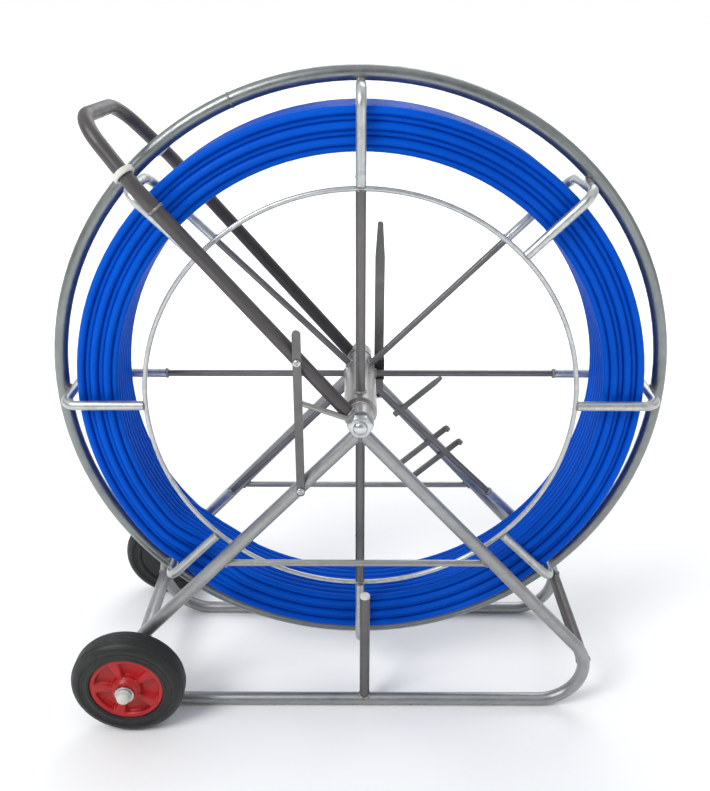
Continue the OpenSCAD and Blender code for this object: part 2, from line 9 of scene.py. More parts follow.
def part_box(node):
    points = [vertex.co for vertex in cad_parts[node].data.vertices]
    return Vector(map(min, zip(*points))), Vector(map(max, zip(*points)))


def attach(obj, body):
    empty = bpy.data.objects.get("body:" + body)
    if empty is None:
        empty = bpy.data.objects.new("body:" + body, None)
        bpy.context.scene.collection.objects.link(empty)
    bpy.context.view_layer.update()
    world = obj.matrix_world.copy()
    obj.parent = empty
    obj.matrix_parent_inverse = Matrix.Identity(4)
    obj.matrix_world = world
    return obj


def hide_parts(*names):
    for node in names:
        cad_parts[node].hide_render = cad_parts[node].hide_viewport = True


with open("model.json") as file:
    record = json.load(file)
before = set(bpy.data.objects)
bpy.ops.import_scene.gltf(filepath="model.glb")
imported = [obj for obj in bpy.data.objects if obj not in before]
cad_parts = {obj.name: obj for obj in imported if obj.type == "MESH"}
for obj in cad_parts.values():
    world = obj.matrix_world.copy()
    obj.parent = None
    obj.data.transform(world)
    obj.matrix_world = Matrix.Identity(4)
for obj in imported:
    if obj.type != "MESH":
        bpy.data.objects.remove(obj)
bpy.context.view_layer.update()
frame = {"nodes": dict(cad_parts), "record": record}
NODES = frame["nodes"]
X, Y, Z = Vector((1, 0, 0)), Vector((0, 1, 0)), Vector((0, 0, 1))


# ---- Sizes and places, read from the frame ----


def centre(node):
    lo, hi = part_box(node)
    return (lo + hi) / 2


def extent(node):
    lo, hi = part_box(node)
    return hi - lo


def reach(node, direction):
    """How far a CAD node goes along a direction, from its lowest to its highest value."""
    values = [direction.dot(v.co) for v in NODES[node].data.vertices]
    return min(values), max(values)


HUB = centre("main_axle")
AXLE_R = extent("main_axle").z / 2
AXLE_HALF = extent("main_axle").y / 2
WHEEL_AXLE = centre("wheel_axle")
WHEEL_AXLE_R = extent("wheel_axle").z / 2
FRONT_PLANE, REAR_PLANE = centre("front_right_leg").y, centre("rear_right_leg").y
SIDE_HALF = (REAR_PLANE - FRONT_PLANE) / 2
SOCKET_R = extent("rear_axle_socket").z / 2
SOCKET_HALF = extent("rear_axle_socket").y / 2
TUBE_R = extent("rear_right_leg").y / 2
CROSSBAR_R = extent("rear_crossbar").z / 2
CROSSBAR_Z = centre("rear_crossbar").z
AXLE_TUBE_R = extent("axle_cross_tube").z / 2
POST_R = extent("front_post").x / 2

RIM_TUBE_R = extent("rim_ring").y / 2
RIM_R = extent("rim_ring").z / 2 - RIM_TUBE_R
CAGE_Y = centre("rim_ring").y
FRONT_Y = centre("inner_ring").y
REAR_Y = 2 * CAGE_Y - FRONT_Y
INNER_RING_WIRE_R = extent("inner_ring").y / 2
INNER_RING_R = extent("inner_ring").z / 2 - INNER_RING_WIRE_R
HOOP_R = extent("cage_hoop_1").z / 2
SPOKE_R = extent("rear_spokes").y / 2
FRONT_SPOKE_R = extent("front_spoke_top").x / 2
ARM_END_R = extent("rear_spokes").z / 2
BARREL_R = extent("hub_barrel").z / 2
HOOP_COUNT = 8
HOOP_STEP = math.tau / HOOP_COUNT

WINDING_OUT = extent("rod_winding").z / 2
WINDING_HALF = extent("rod_winding").y / 2
WHEEL_R = extent("front_tyre").z / 2

# Slopes of the legs and handle arms, and of the loop's sides within the handle's plane
RIGHT_SLOPE, LEFT_SLOPE, ARM_SLOPE = math.radians(48), math.radians(46.5), math.radians(49.5)
LOOP_SLOPE = math.atan2(7, 24)
RIGHT_LEG = Vector((math.cos(RIGHT_SLOPE), 0, -math.sin(RIGHT_SLOPE)))
LEFT_LEG = Vector((-math.cos(LEFT_SLOPE), 0, -math.sin(LEFT_SLOPE)))
ARM_UP = Vector((-math.cos(ARM_SLOPE), 0, math.sin(ARM_SLOPE)))


def line_height(node, slope):
    """Height at which the middle line of a sloping tube passes the upright through the hub."""
    above = Vector((math.sin(slope), 0, math.cos(slope)))
    return (reach(node, above)[1] - TUBE_R) / above.z


LEG_TOP_Z = line_height("rear_right_leg", RIGHT_SLOPE)
ARM_FOOT_Z = line_height("rear_handle_arm", ARM_SLOPE)


def about_hub(angle, radius, y):
    """The point at an angle about the reel's axle, counted from +X up."""
    return Vector((HUB.x + radius * math.cos(angle), y, HUB.z + radius * math.sin(angle)))


def outward(angle):
    return Vector((math.cos(angle), 0, math.sin(angle)))


def smooth(t):
    t = min(1.0, max(0.0, t))
    return t * t * (3 - 2 * t)


def mix(a, b, t):
    return a + (b - a) * t


# ---- Camera and light ----

# Focal length and the picture's longer side, both in pixels
FOCAL, LONG_SIDE = 839.93, 791
SENSOR_MM = 36
CAMERA_PLACE = (-0.004, -1.191, 1.044)
CAMERA_PITCH, CAMERA_YAW = math.radians(24.45), 0.0034


def make_camera():
    data = bpy.data.cameras.new("camera")
    data.sensor_width = SENSOR_MM
    data.lens = FOCAL / LONG_SIDE * SENSOR_MM
    data.clip_start, data.clip_end = 0.05, 500
    camera = bpy.data.objects.new("camera", data)
    camera.location = CAMERA_PLACE
    camera.rotation_euler = (math.pi / 2 - CAMERA_PITCH, 0, CAMERA_YAW)
    bpy.context.scene.collection.objects.link(camera)
    bpy.context.scene.camera = camera


def area_light(name, place, aim, size, power, colour=(1, 1, 1)):
    data = bpy.data.lights.new(name, "AREA")
    data.shape, data.size, data.energy, data.color = "DISK", size, power, colour
    lamp = bpy.data.objects.new(name, data)
    lamp.location = place
    lamp.rotation_euler = (Vector(aim) - Vector(place)).to_track_quat("-Z", "Y").to_euler()
    bpy.context.scene.collection.objects.link(lamp)


def make_lights():
    area_light("key", (-2.0, -1.9, 2.9), HUB, 1.6, 78)
    area_light("fill", (2.6, -2.2, 1.6), HUB, 2.4, 16)
    area_light("back", (0.6, 2.4, 2.6), HUB, 2.4, 30)


def make_world():
    """A white studio, bright overhead and behind and dimmer on the camera's side, for contrast in metal."""
    world = bpy.data.worlds.new("studio")
    world.use_nodes = True
    bpy.context.scene.world = world
    nodes, links = world.node_tree.nodes, world.node_tree.links
    nodes.clear()
    output = nodes.new("ShaderNodeOutputWorld")
    shown = nodes.new("ShaderNodeBackground")
    shown.inputs["Color"].default_value = (1, 1, 1, 1)
    lit = nodes.new("ShaderNodeBackground")
    lit.inputs["Strength"].default_value = 1.0
    choose = nodes.new("ShaderNodeMixShader")
    path = nodes.new("ShaderNodeLightPath")
    place = nodes.new("ShaderNodeTexCoord")
    split = nodes.new("ShaderNodeSeparateXYZ")
    # Brightness grows with height, 1.3 times, plus the way back
    up = nodes.new("ShaderNodeMath")
    up.operation = "MULTIPLY_ADD"
    up.inputs[1].default_value = 1.3
    shade = nodes.new("ShaderNodeValToRGB")
    shade.color_ramp.elements[0].position = 0.0
    shade.color_ramp.elements[0].color = (0.20, 0.21, 0.22, 1)
    shade.color_ramp.elements[1].position = 0.9
    shade.color_ramp.elements[1].color = (0.86, 0.88, 0.90, 1)
    links.new(place.outputs["Generated"], split.inputs[0])
    links.new(split.outputs["Z"], up.inputs[0])
    links.new(split.outputs["Y"], up.inputs[2])
    links.new(up.outputs[0], shade.inputs[0])
    links.new(shade.outputs[0], lit.inputs["Color"])
    links.new(path.outputs["Is Camera Ray"], choose.inputs[0])
    links.new(lit.outputs[0], choose.inputs[1])
    links.new(shown.outputs[0], choose.inputs[2])
    links.new(choose.outputs[0], output.inputs[0])


# ---- Materials ----


class Finish:
    """A Principled material whose patterns are worked out from the point on the object."""

    def __init__(self, name, colour, roughness, metallic=0.0, **sockets):
        self.material = bpy.data.materials.new(name)
        self.material.use_nodes = True
        self.material.diffuse_color = (*colour, 1)
        self.nodes = self.material.node_tree.nodes
        self.links = self.material.node_tree.links
        self.shader = self.nodes["Principled BSDF"]
        self.shader.inputs["Base Color"].default_value = (*colour, 1)
        self.shader.inputs["Roughness"].default_value = roughness
        self.shader.inputs["Metallic"].default_value = metallic
        for socket, value in sockets.items():
            self.shader.inputs[socket.replace("_", " ")].default_value = value
        self.place = self.nodes.new("ShaderNodeTexCoord").outputs["Object"]
        self.normal = None

    def noise(self, scale, detail=4.0, rough=0.55, distortion=0.0):
        node = self.nodes.new("ShaderNodeTexNoise")
        node.inputs["Scale"].default_value = scale
        node.inputs["Detail"].default_value = detail
        node.inputs["Roughness"].default_value = rough
        node.inputs["Distortion"].default_value = distortion
        self.links.new(self.place, node.inputs["Vector"])
        return node.outputs[0]

    def cells(self, scale, output="Distance"):
        node = self.nodes.new("ShaderNodeTexVoronoi")
        node.inputs["Scale"].default_value = scale
        self.links.new(self.place, node.inputs["Vector"])
        return node.outputs[output]

    def grey(self, colour_output):
        node = self.nodes.new("ShaderNodeRGBToBW")
        self.links.new(colour_output, node.inputs[0])
        return node.outputs[0]

    def edges(self):
        """High on sharp outer edges, where a finish rubs thin."""
        return self.nodes.new("ShaderNodeNewGeometry").outputs["Pointiness"]

    def ramp(self, source, *stops):
        """Colours along a pattern; each stop is a place from 0 to 1 and a colour."""
        node = self.nodes.new("ShaderNodeValToRGB")
        elements = node.color_ramp.elements
        while len(elements) < len(stops):
            elements.new(0.5)
        for element, (where, colour) in zip(elements, stops):
            element.position = where
            element.color = (*colour, 1)
        self.links.new(source, node.inputs[0])
        return node.outputs[0]

    def level(self, source, low, high, start=0.0, end=1.0):
        node = self.nodes.new("ShaderNodeMapRange")
        for socket, value in (("From Min", start), ("From Max", end), ("To Min", low), ("To Max", high)):
            node.inputs[socket].default_value = value
        self.links.new(source, node.inputs["Value"])
        return node.outputs[0]

    def blend(self, factor, a, b):
        node = self.nodes.new("ShaderNodeMix")
        node.data_type = "RGBA"
        if isinstance(factor, float):
            node.inputs[0].default_value = factor
        else:
            self.links.new(factor, node.inputs[0])
        for socket, value in ((node.inputs[6], a), (node.inputs[7], b)):
            if isinstance(value, tuple):
                socket.default_value = (*value, 1)
            else:
                self.links.new(value, socket)
        return node.outputs[2]

    def colour(self, source):
        self.links.new(source, self.shader.inputs["Base Color"])

    def roughness(self, source):
        self.links.new(source, self.shader.inputs["Roughness"])

    def bump(self, source, depth, strength=1.0):
        """Adds relief of a depth in metres on top of any relief so far."""
        node = self.nodes.new("ShaderNodeBump")
        node.inputs["Distance"].default_value = depth
        node.inputs["Strength"].default_value = strength
        self.links.new(source, node.inputs["Height"])
        if self.normal:
            self.links.new(self.normal, node.inputs["Normal"])
        self.normal = node.outputs[0]
        self.links.new(self.normal, self.shader.inputs["Normal"])


def tinted(colour, factor):
    return tuple(c * factor for c in colour)


def steel(name, colour, roughness, spangle=0.0, metallic=0.85):
    """Satin steel tube: mottled, with fine drawing grain and faint zinc spangle."""
    f = Finish(name, colour, roughness, metallic)
    mottle = f.noise(9, 6, 0.6, 0.4)
    grain = f.noise(900, 2, 0.5)
    base = f.ramp(mottle, (0.3, tinted(colour, 0.80)), (0.52, colour), (0.74, tinted(colour, 1.16)))
    if spangle:
        flakes = f.grey(f.cells(150, output="Color"))
        crystal = f.ramp(flakes, (0.1, tinted(colour, 0.82)), (0.9, tinted(colour, 1.20)))
        base = f.blend(spangle, base, crystal)
    scuffs = f.level(f.noise(34, 8, 0.72, 1.2), 0.0, 1.0, 0.60, 0.74)
    base = f.blend(scuffs, base, tinted(colour, 0.72))
    f.colour(base)
    f.roughness(f.level(f.noise(55, 6, 0.65), roughness - 0.09, roughness + 0.12, 0.3, 0.7))
    f.bump(grain, 0.00003)
    f.bump(mottle, 0.0004, 0.5)
    return f.material


def weld_metal():
    """Weld bead: darker, with straw and blue heat tint and a rough skin."""
    f = Finish("weld_metal", (0.24, 0.23, 0.22), 0.5, 0.8)
    tint = f.noise(120, 4, 0.6)
    stops = (0.35, (0.14, 0.14, 0.15)), (0.5, (0.28, 0.27, 0.26)), (0.66, (0.36, 0.33, 0.29))
    f.colour(f.ramp(tint, *stops))
    f.roughness(f.level(f.noise(300, 4), 0.36, 0.68, 0.3, 0.7))
    f.bump(f.noise(700, 4), 0.0003)
    return f.material


def rod_coating():
    """Glossy extruded jacket of the rod, with scuffs where it has been dragged through ducts."""
    blue = (0.0, 0.078, 0.52)
    f = Finish("rod_blue", blue, 0.38, Specular_IOR_Level=0.05)
    drift = f.noise(5, 4, 0.5)
    base = f.ramp(drift, (0.3, (0.0, 0.062, 0.44)), (0.55, blue), (0.75, (0.0002, 0.098, 0.62)))
    scuffs = f.level(f.noise(60, 9, 0.75, 2.0), 0.0, 0.55, 0.62, 0.78)
    f.colour(f.blend(scuffs, base, (0.006, 0.125, 0.58)))
    f.roughness(f.level(f.noise(40, 7, 0.7), 0.28, 0.50, 0.3, 0.7))
    f.bump(f.noise(500, 3), 0.00006)
    return f.material


def moulded(name, colour, roughness, grain=0.00004, wear=1.25, coat=0.0):
    """Moulded plastic with a fine spark-eroded grain, a little uneven in tone."""
    f = Finish(name, colour, roughness, Coat_Weight=coat, Coat_Roughness=0.2)
    tone = f.noise(22, 5, 0.6)
    base = f.ramp(tone, (0.3, tinted(colour, 0.82)), (0.55, colour), (0.8, tinted(colour, 1.12)))
    rubbed = f.level(f.edges(), 0.0, 0.5, 0.53, 0.60)
    f.colour(f.blend(rubbed, base, tinted(colour, wear)))
    f.roughness(f.level(f.noise(90, 6, 0.7), roughness - 0.07, roughness + 0.12, 0.3, 0.7))
    f.bump(f.cells(1400), grain)
    return f.material


def rubber(name, colour, roughness, dust=0.3, grain=700):
    """Matt rubber with a pebbled skin and dust in its hollows."""
    f = Finish(name, colour, roughness, Specular_IOR_Level=0.36, Sheen_Weight=0.03, Sheen_Roughness=0.5)
    tone = f.noise(18, 6, 0.62)
    base = f.ramp(tone, (0.3, tinted(colour, 0.7)), (0.55, colour), (0.8, tinted(colour, 1.35)))
    dusty = f.level(f.noise(45, 8, 0.72, 0.8), 0.0, dust, 0.52, 0.74)
    f.colour(f.blend(dusty, base, (0.10, 0.10, 0.095)))
    f.roughness(f.level(f.noise(70, 6, 0.65), roughness - 0.08, roughness + 0.14, 0.3, 0.7))
    f.bump(f.cells(grain), 0.00025, 0.7)
    f.bump(f.noise(2200, 2), 0.00005)
    return f.material


def brass():
    colour = (0.62, 0.42, 0.14)
    f = Finish("ferrule_brass", colour, 0.3, 1.0)
    stain = f.noise(80, 6, 0.65)
    f.colour(f.ramp(stain, (0.3, (0.34, 0.21, 0.07)), (0.55, colour), (0.8, (0.74, 0.54, 0.22))))
    f.roughness(f.level(f.noise(260, 5), 0.22, 0.42, 0.3, 0.7))
    f.bump(f.noise(1200, 2), 0.00004)
    return f.material


def friction_block():
    """Pressed brake lining: dark binder with pale and brassy specks."""
    colour = (0.035, 0.028, 0.024)
    f = Finish("pad_rubber", colour, 0.85)
    specks = f.level(f.cells(520), 1.0, 0.0, 0.10, 0.24)
    base = f.ramp(f.noise(120, 6), (0.3, tinted(colour, 0.6)), (0.7, tinted(colour, 1.7)))
    f.colour(f.blend(specks, base, (0.16, 0.11, 0.06)))
    f.bump(f.noise(800, 5, 0.7), 0.0006)
    return f.material


def pale_floor():
    """White sweep: it shows shadows near the object and glows evenly further away."""
    f = Finish("pale_floor", (0.90, 0.90, 0.90), 0.6, Specular_IOR_Level=0.2, Emission_Color=(1, 1, 1, 1))
    length = f.nodes.new("ShaderNodeVectorMath")
    length.operation = "LENGTH"
    f.links.new(f.place, length.inputs[0])
    f.links.new(f.level(length.outputs["Value"], 0.0, 0.55, 0.5, 2.2), f.shader.inputs["Emission Strength"])
    f.colour(f.ramp(f.noise(2.5, 3), (0.3, (0.89, 0.89, 0.89)), (0.7, (0.91, 0.91, 0.91))))
    return f.material


STAND = steel("stand_steel", (0.34, 0.345, 0.345), 0.40, 0.25)
DARK_STAND = steel("handle_steel", (0.085, 0.078, 0.078), 0.42, metallic=0.5)
# Painted shade: a darker copy of the handle steel for the rear handle arm, which is the same metal as the
# front arm and only sits in shadow
SHADED_STAND = steel("rear_arm_painted_shade_steel", (0.042, 0.038, 0.038), 0.44, metallic=0.4)
POST_STEEL = steel("post_steel", (0.15, 0.145, 0.14), 0.42, 0.1)
CAGE = steel("cage_steel", (0.50, 0.515, 0.505), 0.38, 0.55)
RIM = steel("rim_steel", (0.23, 0.245, 0.245), 0.36, 0.2)
SPOKE = steel("spoke_steel", (0.17, 0.165, 0.17), 0.42)
HUB_STEEL = steel("hub_steel", (0.37, 0.365, 0.35), 0.38, 0.15)
ZINC = steel("zinc_steel", (0.58, 0.59, 0.60), 0.30, 0.3, 1.0)
LEVER = steel("lever_steel", (0.155, 0.155, 0.15), 0.42, 0.1)
WELD = weld_metal()
ROD_BLUE = rod_coating()
RIM_RED = moulded("rim_red", (0.42, 0.001, 0.003), 0.40, wear=1.35)
PALE = moulded("pale_plastic", (0.62, 0.62, 0.56), 0.42)
IVORY = moulded("bush_plastic", (0.60, 0.57, 0.47), 0.5)
GRIP = rubber("grip_rubber", (0.007, 0.005, 0.005), 0.62, 0.03, 900)
TYRE = rubber("tyre_rubber", (0.016, 0.017, 0.016), 0.48, 0.16, 520)
PAD = friction_block()
BRASS = brass()


# ---- Mesh tools ----


def piece(name, verts, faces, material, body, slot=None, replaces=(), bevel=0.0, flat=False):
    """A new mesh that rides on a CAD body, in the row frame."""
    mesh = bpy.data.meshes.new(name)
    mesh.from_pydata([tuple(v) for v in verts], [], faces)
    mesh.materials.append(material)
    tidy = bmesh.new()
    tidy.from_mesh(mesh)
    bmesh.ops.recalc_face_normals(tidy, faces=tidy.faces)
    tidy.to_mesh(mesh)
    tidy.free()
    if not flat:
        mesh.shade_smooth()
    thing = bpy.data.objects.new(name, mesh)
    bpy.context.scene.collection.objects.link(thing)
    if bevel:
        cut = thing.modifiers.new("edges", "BEVEL")
        cut.width, cut.segments, cut.limit_method, cut.angle_limit = bevel, 3, "ANGLE", math.radians(35)
        cut.harden_normals = True
    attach(thing, body)
    if replaces:
        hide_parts(*replaces)
    return thing


# Radius of the hole left at the pole of a turned piece, which one small face closes
POLE = 0.0004


def spokes_about(axis, count):
    """Directions evenly round an axis."""
    side = (X if abs(axis.x) < 0.9 else Z).cross(axis).normalized()
    other = axis.cross(side)
    angles = [math.tau * i / count for i in range(count)]
    return [side * math.cos(a) + other * math.sin(a) for a in angles]


class Build:
    """Vertices and faces gathered from several simple forms."""

    def __init__(self):
        self.verts, self.faces = [], []

    def add(self, verts, faces):
        base = len(self.verts)
        self.verts += verts
        self.faces += [tuple(base + i for i in face) for face in faces]
        return self

    def grid(self, rows, wrap_rows=False, wrap_columns=True):
        """Quads between neighbouring rows of points."""
        count, width = len(rows), len(rows[0])
        faces = []
        for i in range(count if wrap_rows else count - 1):
            for j in range(width if wrap_columns else width - 1):
                a, b = i * width, (i + 1) % count * width
                k = (j + 1) % width
                faces.append((a + j, a + k, b + k, b + j))
        return self.add([p for row in rows for p in row], faces)

    def sweep(self, path, radii, normals, sides=12, closed=False):
        """Round tube along a path. A normal at each point keeps the rings from twisting."""
        rows = []
        count = len(path)
        for i, p in enumerate(path):
            ahead = path[(i + 1) % count] if closed or i + 1 < count else p
            behind = path[i - 1] if closed or i > 0 else p
            along = (ahead - behind).normalized()
            n = (normals[i] - along * along.dot(normals[i])).normalized()
            b = along.cross(n)
            r = radii[i] if isinstance(radii, list) else radii
            turn = math.tau / sides
            rows.append([p + (n * math.cos(k * turn) + b * math.sin(k * turn)) * r for k in range(sides)])
        base = len(self.verts)
        self.grid(rows, wrap_rows=closed)
        if not closed:
            last = base + (count - 1) * sides
            self.faces.append(tuple(range(base, base + sides)))
            self.faces.append(tuple(range(last, last + sides)))
        return self

    def lathe(self, profile, origin, axis, segments=64, closed=True):
        """Turns a profile of (radius, distance along the axis) about the axis."""
        axis = axis.normalized()
        spokes = spokes_about(axis, segments)
        rows = [[origin + spoke * r + axis * h for r, h in profile] for spoke in spokes]
        if closed:
            return self.grid(rows, wrap_rows=True, wrap_columns=True)
        base = len(self.verts)
        self.grid(rows, wrap_rows=True, wrap_columns=False)
        width = len(profile)
        for end in (0, width - 1):
            self.faces.append(tuple(base + j * width + end for j in range(segments)))
        return self

    def lathe_by(self, radius, heights, origin, axis, segments=96):
        """As lathe, for a solid whose radius changes with angle: radius(angle, height)."""
        axis = axis.normalized()
        spokes = list(enumerate(spokes_about(axis, segments)))
        turn = math.tau / segments
        rows = [[origin + spoke * radius(turn * j, h) + axis * h for j, spoke in spokes] for h in heights]
        base = len(self.verts)
        self.grid(rows)
        last = base + (len(rows) - 1) * segments
        self.faces.append(tuple(range(base, base + segments)))
        self.faces.append(tuple(range(last, last + segments)))
        return self

    def piece(self, name, material, body, **settings):
        return piece(name, self.verts, self.faces, material, body, **settings)


def rounded(profile, radius, steps=4):
    """A closed profile with its corners rounded."""
    made = []
    count = len(profile)
    for i, corner in enumerate(profile):
        here = Vector(corner)
        to_last = Vector(profile[i - 1]) - here
        to_next = Vector(profile[(i + 1) % count]) - here
        cut = min(radius, 0.45 * to_last.length, 0.45 * to_next.length)
        a, b = here + to_last.normalized() * cut, here + to_next.normalized() * cut
        for k in range(steps + 1):
            t = k / steps
            made.append(tuple(a * (1 - t) ** 2 + here * 2 * t * (1 - t) + b * t * t))
    return made


def annulus(inner, outer, start, end, radius):
    """Rounded profile of a ring."""
    return rounded([(inner, start), (outer, start), (outer, end), (inner, end)], radius)


# ---- Weld beads ----

BEAD, BEAD_STEP = 0.0026, 0.0018
LOOP_START = reach("rear_handle_arm", ARM_UP)[1] - ARM_UP.z * ARM_FOOT_Z


def bead_radius(i, count, seed):
    """A bead's radius swells with each pool that the welder laid."""
    pools = max(5, round(count / 5))
    wave = abs(math.sin(math.pi * pools * i / count))
    return BEAD * (0.80 + 0.26 * wave + 0.22 * noise.noise(Vector((i * 0.31, seed, 0.5))))


class Welds(Build):
    """All the weld beads of one body."""

    def __init__(self):
        super().__init__()
        self.count = 0

    def run(self, path, normals, closed=True, size=1.0):
        self.count += 1
        radii = [size * bead_radius(i, len(path), 7.3 * self.count) for i in range(len(path))]
        if not closed:
            radii[0] *= 0.35
            radii[-1] *= 0.35
        self.sweep(path, radii, normals, sides=8, closed=closed)

    def seam(self, start, direction, rod_r, big_point, big_direction, big_r, size=1.0, stop_x=None):
        """Bead round the line where a rod runs into the side of a tube, or into the plane x = stop_x."""
        direction, big_direction = direction.normalized(), big_direction.normalized()
        side = direction.cross(big_direction).normalized()
        other = direction.cross(side)
        path, normals = [], []
        count = max(28, int(math.tau * rod_r / BEAD_STEP))
        for i in range(count):
            a = math.tau * i / count
            spoke = side * math.cos(a) + other * math.sin(a)
            p = start + spoke * rod_r
            w = p - big_point
            w -= big_direction * w.dot(big_direction)
            d = direction - big_direction * direction.dot(big_direction)
            half = w.dot(d) / d.dot(d)
            inside = max(0.0, half * half - (w.dot(w) - big_r * big_r) / d.dot(d))
            far = -half - math.sqrt(inside)
            if stop_x is not None:
                far = min(far, (stop_x - p.x) / direction.x)
            path.append(p + direction * far)
            normals.append(spoke)
        self.run(path, normals, size=size)

    def ring(self, middle, axis, radius, size=1.0):
        """Bead round a straight butt joint."""
        spokes = spokes_about(axis, max(28, int(math.tau * radius / BEAD_STEP)))
        self.run([middle + s * radius for s in spokes], spokes, size=size)

    def line(self, a, b, normal, size=1.0):
        """Short straight bead from a to b."""
        steps = max(6, int((b - a).length / 0.0016))
        path = [a.lerp(b, i / steps) for i in range(steps + 1)]
        self.run(path, [normal] * len(path), closed=False, size=size)

    def pair(self, crossing, apart, half, normal, size):
        """Two short beads, one on each side of a crossing; half reaches from a bead's middle to its end."""
        for end in (-1, 1):
            at = crossing + Y * end * apart
            self.line(at - half, at + half, normal, size)


def cage_welds():
    welds = Welds()
    rear_spoke_line = Vector((HUB.x, REAR_Y, HUB.z))
    beside_ring = 0.95 * INNER_RING_WIRE_R
    for i in range(HOOP_COUNT):
        angle = i * HOOP_STEP
        out, along = outward(angle), outward(angle + math.pi / 2)
        crossing = about_hub(angle, RIM_R - RIM_TUBE_R + 0.0012, CAGE_Y)
        welds.pair(crossing, 0.62 * RIM_TUBE_R, along * 0.75 * HOOP_R, out, 1.25)
        arm = about_hub(angle, INNER_RING_R + INNER_RING_WIRE_R, FRONT_Y)
        welds.pair(arm, beside_ring, along * 0.8 * HOOP_R, out, 0.9)
        welds.ring(about_hub(angle, ARM_END_R, REAR_Y), out, SPOKE_R + 0.0006, 0.95)
        welds.seam(about_hub(angle, 2 * BARREL_R, REAR_Y), -out, SPOKE_R, rear_spoke_line, Y, BARREL_R)
    for angle in (math.pi / 2, -math.pi / 2):
        out = outward(angle)
        welds.seam(about_hub(angle, 2 * BARREL_R, FRONT_Y), -out, FRONT_SPOKE_R, HUB, Y, BARREL_R)
        tip = about_hub(angle, INNER_RING_R - INNER_RING_WIRE_R, FRONT_Y)
        welds.pair(tip, beside_ring, X * 0.8 * FRONT_SPOKE_R, out, 0.9)
    rim_joint = HOOP_STEP * 2.5
    along_rim = outward(rim_joint + math.pi / 2)
    welds.ring(about_hub(rim_joint, RIM_R, CAGE_Y), along_rim, RIM_TUBE_R - 0.0012, 0.8)
    welds.piece("cage_welds", WELD, "reel", slot="cage_steel")


def stand_welds():
    welds = Welds()
    tube = centre("base_cross_tube")
    tangent_angle = math.radians(10)
    tangent = Vector((-math.sin(tangent_angle), 0, math.cos(tangent_angle)))
    for plane, inwards in ((FRONT_PLANE, Y), (REAR_PLANE, -Y)):
        hub = Vector((HUB.x, plane, HUB.z))
        top = Vector((HUB.x, plane, LEG_TOP_Z))
        wheel = Vector((WHEEL_AXLE.x, plane, WHEEL_AXLE.z))
        for leg in (LEFT_LEG, RIGHT_LEG):
            welds.seam(top + leg * 4 * SOCKET_R, -leg, TUBE_R, hub, Y, SOCKET_R, stop_x=HUB.x)
        arm = Vector((HUB.x, plane, ARM_FOOT_Z))
        welds.seam(arm + ARM_UP * 4 * SOCKET_R, -ARM_UP, TUBE_R, hub, Y, SOCKET_R)
        welds.ring(arm + ARM_UP * LOOP_START, ARM_UP, TUBE_R, 0.8)
        for end in (-1, 1):
            welds.seam(wheel - Z * end * 3 * TUBE_R, Z * end, TUBE_R, wheel, Y, AXLE_TUBE_R)
        bar = Vector((HUB.x, plane, CROSSBAR_Z))
        welds.seam(bar, -X, CROSSBAR_R, top, LEFT_LEG, TUBE_R)
        welds.seam(bar, X, CROSSBAR_R, top, RIGHT_LEG, TUBE_R)
        foot = Vector((tube.x, plane, tube.z))
        welds.seam(foot + inwards * 4 * TUBE_R, -inwards, TUBE_R * 0.97, foot, tangent, TUBE_R)
    post = centre("front_post")
    rail = Vector((post.x, FRONT_PLANE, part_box("front_base_rail")[0].z + TUBE_R))
    welds.seam(post, -Z, POST_R, rail, X, TUBE_R)
    welds.piece("stand_welds", WELD, "stand", slot="stand_steel")


# ---- The wound rod ----

ROD_R = 0.0055
PITCH = 2 * ROD_R
TURNS_WIDE = round(WINDING_HALF / ROD_R)
LAYERS = 6
TURN_STEPS = 120
CROSSING_ANGLE = math.radians(228)
CROSSING_SPAN = math.radians(26)
# The last turn ends under a hoop
INNER_END_ANGLE = 5 * HOOP_STEP

# The rod's free end: the stud's middle and direction, and the ferrule's back and front along it
STUD = frame["record"]["mounts"][0]
STUD_MIDDLE, ROD_AXIS = Vector(STUD["pos_m"]), Vector(STUD["axis"])
STUD_R, STUD_LEN = STUD["dims"]["r_mm"] / 1000, STUD["dims"]["length_mm"] / 1000
FERRULE_BACK = STUD_MIDDLE + ROD_AXIS * (reach("rod_ferrule", ROD_AXIS)[0] - ROD_AXIS.dot(STUD_MIDDLE))
FERRULE_LEN = (STUD_MIDDLE - FERRULE_BACK).length - STUD_LEN / 2


def turn_places():
    """(layer, place across the cage) of every turn, laid to and fro from the outermost layer inwards."""
    places = []
    for layer in range(LAYERS):
        count = TURNS_WIDE - layer % 2
        row = [(k - (count - 1) / 2) * PITCH for k in range(count)]
        if layer % 2 == 0:
            row.reverse()
        places += [(layer, y) for y in row]
    return places


def layer_rise(s):
    """How far one layer lies inside the next, s of the way through a crossing: more where rods cross."""
    offset = max(0.0, 0.5 - 2 * s, 2 * s - 1.5)
    return PITCH * math.sqrt(1 - offset * offset)


def crossing_point(now, after, s):
    """Radius and place across the cage while the rod moves from one turn's place to the next."""
    layer, y = now
    outer = WINDING_OUT - ROD_R
    rise = layer_rise(s)
    if after[0] == layer:
        return outer - layer * rise, mix(y, after[1], s)
    heading = 1 if y > 0 else -1
    lean = math.radians(120) * s
    neighbour = y - heading * PITCH * (1 - s)
    return outer - layer * rise - PITCH * math.sin(lean), neighbour + heading * PITCH * math.cos(lean)


